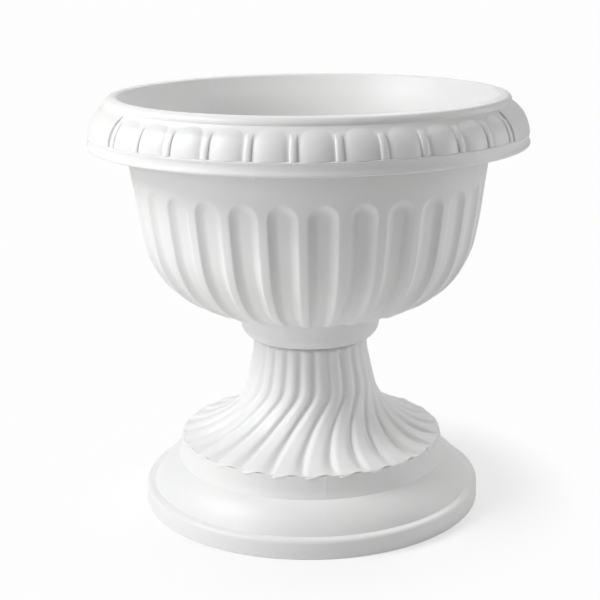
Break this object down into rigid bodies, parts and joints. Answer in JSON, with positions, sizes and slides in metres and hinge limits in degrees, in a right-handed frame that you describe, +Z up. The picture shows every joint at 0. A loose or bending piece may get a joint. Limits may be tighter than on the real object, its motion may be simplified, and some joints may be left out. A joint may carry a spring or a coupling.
{
  "type": "urn planter",
  "caption": "Footed urn planter with a fluted bowl, a beaded rolled rim, a swirled flaring pedestal and a round stepped base, the two pieces clamped by a bolt",
  "frame": {"origin": "centre of the base disc, on the plane it rests on", "axes": "+Z up, the axis the bowl and pedestal are turned about; -Y is the front, towards the camera of the picture"},
  "size_m": [0.4, 0.4, 0.3847],
  "materials": {
    "white_resin": "satin, fine moulded grain",
    "zinc_steel": "bright zinc plated",
    "black_rubber": "matte",
    "white_plug": "satin"
  },
  "bodies": {
    "base": {"pedestal": "white_resin"},
    "bowl_unit": {"bowl": "white_resin", "clamp_bolt": "zinc_steel", "bolt_washer": "zinc_steel", "seal_washer": "black_rubber"},
    "washer_unit": {"nut_washer": "zinc_steel"},
    "nut": {"wing_nut": "zinc_steel"},
    "plug_left": {"drain_plug_left": "white_plug"},
    "plug_right": {"drain_plug_right": "white_plug"}
  },
  "joints": [
    {"name": "bowl_lift", "type": "slide", "parent": "base", "child": "bowl_unit", "axis": [0, 0, 1], "range_m": [0, 0.08]},
    {"name": "nut_drop", "type": "slide", "parent": "base", "child": "washer_unit", "axis": [0, 0, -1], "range_m": [0, 0.023]},
    {"name": "nut_spin", "type": "hinge", "parent": "washer_unit", "child": "nut", "pos_m": [0, 0, 0.14], "axis": [0, 0, -1], "range_deg": [0, 6624]},
    {"name": "plug_left_pull", "type": "slide", "parent": "bowl_unit", "child": "plug_left", "axis": [0, 0, 1], "range_m": [0, 0.03]},
    {"name": "plug_right_pull", "type": "slide", "parent": "bowl_unit", "child": "plug_right", "axis": [0, 0, 1], "range_m": [0, 0.03]}
  ],
  "couplings": [
    {"joint": "nut_drop", "follows": "nut_spin", "m_per_rad": 0.00019894}
  ]
}
